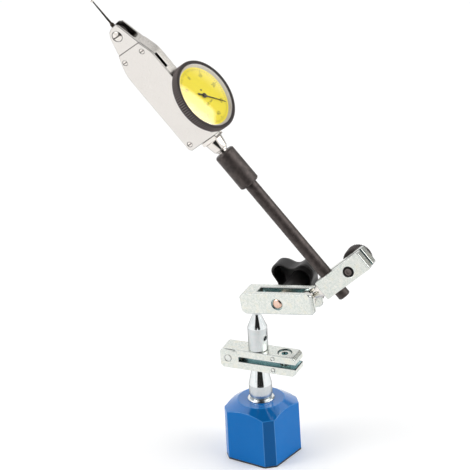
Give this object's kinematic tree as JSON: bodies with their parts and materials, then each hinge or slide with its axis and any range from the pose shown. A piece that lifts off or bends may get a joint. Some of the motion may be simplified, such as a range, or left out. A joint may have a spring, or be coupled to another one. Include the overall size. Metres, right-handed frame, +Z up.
{
  "type": "dial test indicator on magnetic base",
  "caption": "Lever-type dial test indicator with a knurled bezel and yellow dial, held on a slanted rod by ball-jointed clamp bars with fine adjustment on a small square magnetic base.",
  "frame": {"origin": "centre of the magnetic base's underside", "axes": "+Z up from the magnet face; +X towards the clamp bars' free end; +Y towards the back"},
  "size_m": [0.1403, 0.052, 0.2388],
  "materials": {
    "blue_enamel": "glossy blue paint on steel",
    "bare_steel": "ground bare steel",
    "magnet": "sintered magnet",
    "brass": "plain brass",
    "zinc": "bright zinc plate",
    "copper": "copper-coloured plate",
    "black_plastic": "matt black moulding",
    "black_oxide": "satin black oxide",
    "satin_chrome": "satin chrome",
    "polished": "polished chrome",
    "bezel_black": "black knurled bezel",
    "dial_yellow": "yellow printed dial",
    "ring_white": "pale reflector ring",
    "crystal": "clear domed plastic",
    "movement_steel": "turned movement steel",
    "spring_alloy": "hairspring alloy",
    "pointer_black": "black pointer"
  },
  "bodies": {
    "base": {"base_block": "blue_enamel", "base_sole": "bare_steel", "magnet_core": "magnet", "centre_pole": "bare_steel", "spacer_ring": "brass"},
    "post": {"base_post": "zinc", "foot_ring": "zinc", "lower_bar": "zinc", "pivot_pin": "zinc", "lower_pin": "zinc"},
    "fine_arm": {"fine_lever": "zinc", "upper_pin": "zinc"},
    "fine_adjuster": {"fine_screw": "zinc"},
    "ball_column": {"ball_post": "zinc"},
    "clamp": {"clamp_bar": "zinc", "knob_washer": "zinc"},
    "clamp_handle": {"clamp_bolt": "copper", "clamp_knob": "black_plastic"},
    "stud": {"ball_stud": "zinc"},
    "holder": {"rod_clamp": "zinc"},
    "thumb": {"thumb_screw": "black_oxide", "thumb_knob": "black_oxide"},
    "rod_arm": {"rod": "black_oxide", "sleeve": "black_oxide"},
    "indicator": {"stem": "polished", "dovetail_clamp": "polished", "case": "satin_chrome", "cover": "satin_chrome", "cover_screws": "polished", "pivot_screws": "polished", "dial_seat": "satin_chrome", "arbor_cock": "brass", "hairspring": "spring_alloy"},
    "bezel": {"bezel": "bezel_black", "dial": "dial_yellow", "dial_ring": "ring_white", "crystal": "crystal"},
    "lever": {"lever": "movement_steel"},
    "stylus": {"stylus_hub": "black_oxide", "stylus_stem": "polished", "stylus_ball": "polished"},
    "crown": {"crown_arbor": "movement_steel", "crown_wheel": "brass"},
    "pointer": {"centre_arbor": "movement_steel", "pointer": "pointer_black"}
  },
  "joints": [
    {"name": "post_turn", "type": "hinge", "parent": "base", "child": "post", "pos_m": [0, 0, 0.03], "axis": [0, 0, 1], "continuous": true},
    {"name": "fine_tilt", "type": "hinge", "parent": "post", "child": "fine_arm", "pos_m": [-0.01418, -0.00301, 0.05235], "axis": [0.2079, -0.9781, 0], "range_deg": [-1.2, 1.2]},
    {"name": "fine_screw_turn", "type": "hinge", "parent": "fine_arm", "child": "fine_adjuster", "pos_m": [0.01369, 0.00291, 0.05235], "axis": [0, 0, 1], "range_deg": [-330, 330]},
    {"name": "column_turn", "type": "hinge", "parent": "fine_arm", "child": "ball_column", "pos_m": [0, 0, 0.0575], "axis": [0, 0, 1], "continuous": true},
    {"name": "clamp_tilt", "type": "hinge", "parent": "ball_column", "child": "clamp", "pos_m": [0, 0, 0.085], "axis": [0.1564, -0.9877, 0], "range_deg": [-30, 10]},
    {"name": "clamp_knob_turn", "type": "hinge", "parent": "clamp", "child": "clamp_handle", "pos_m": [0.0139, 0.0022, 0.08723], "axis": [-0.1564, 0.9877, 0], "range_deg": [0, 360]},
    {"name": "stud_tilt", "type": "hinge", "parent": "clamp", "child": "stud", "pos_m": [0.0278, 0.0044, 0.08946], "axis": [0.1564, -0.9877, 0], "range_deg": [-40, 12]},
    {"name": "holder_twist", "type": "hinge", "parent": "stud", "child": "holder", "pos_m": [0.0278, 0.0044, 0.08946], "axis": [0.7145, 0.2601, 0.6494], "range_deg": [-25, 25]},
    {"name": "thumb_turn", "type": "hinge", "parent": "holder", "child": "thumb", "pos_m": [0.0496, 0.01234, 0.10927], "axis": [-0.2831, 0.9564, -0.0716], "range_deg": [0, 360]},
    {"name": "rod_slide", "type": "slide", "parent": "holder", "child": "rod_arm", "axis": [-0.6398, -0.1327, 0.757], "range_m": [-0.045, 0.003]},
    {"name": "indicator_turn", "type": "hinge", "parent": "rod_arm", "child": "indicator", "pos_m": [-0.01303, -0.00209, 0.16424], "axis": [-0.6398, -0.1327, 0.757], "continuous": true},
    {"name": "bezel_turn", "type": "hinge", "parent": "indicator", "child": "bezel", "pos_m": [-0.0312, -0.00586, 0.18574], "axis": [0.7509, 0.1021, 0.6525], "continuous": true},
    {"name": "lever_swing", "type": "hinge", "parent": "indicator", "child": "lever", "pos_m": [-0.06398, -0.01255, 0.2216], "axis": [-0.1639, 0.9859, 0.0343], "range_deg": [-1.1, 1.1], "stiffness_Nm_per_rad": 0.15},
    {"name": "stylus_set", "type": "hinge", "parent": "lever", "child": "stylus", "pos_m": [-0.06398, -0.01255, 0.2216], "axis": [-0.1639, 0.9859, 0.0343], "range_deg": [-100, 100]},
    {"name": "crown_turn", "type": "hinge", "parent": "indicator", "child": "crown", "pos_m": [-0.03263, -0.00605, 0.1845], "axis": [-0.1639, 0.9859, 0.0343], "range_deg": [-36, 36]},
    {"name": "pointer_turn", "type": "hinge", "parent": "indicator", "child": "pointer", "pos_m": [-0.0312, -0.00586, 0.18574], "axis": [0.7509, 0.1021, 0.6525], "range_deg": [-215, 215]}
  ],
  "couplings": [
    {"joint": "fine_screw_turn", "follows": "fine_tilt", "ratio": 255.82},
    {"joint": "crown_turn", "follows": "lever_swing", "ratio": -31.667},
    {"joint": "pointer_turn", "follows": "lever_swing", "ratio": -190}
  ]
}
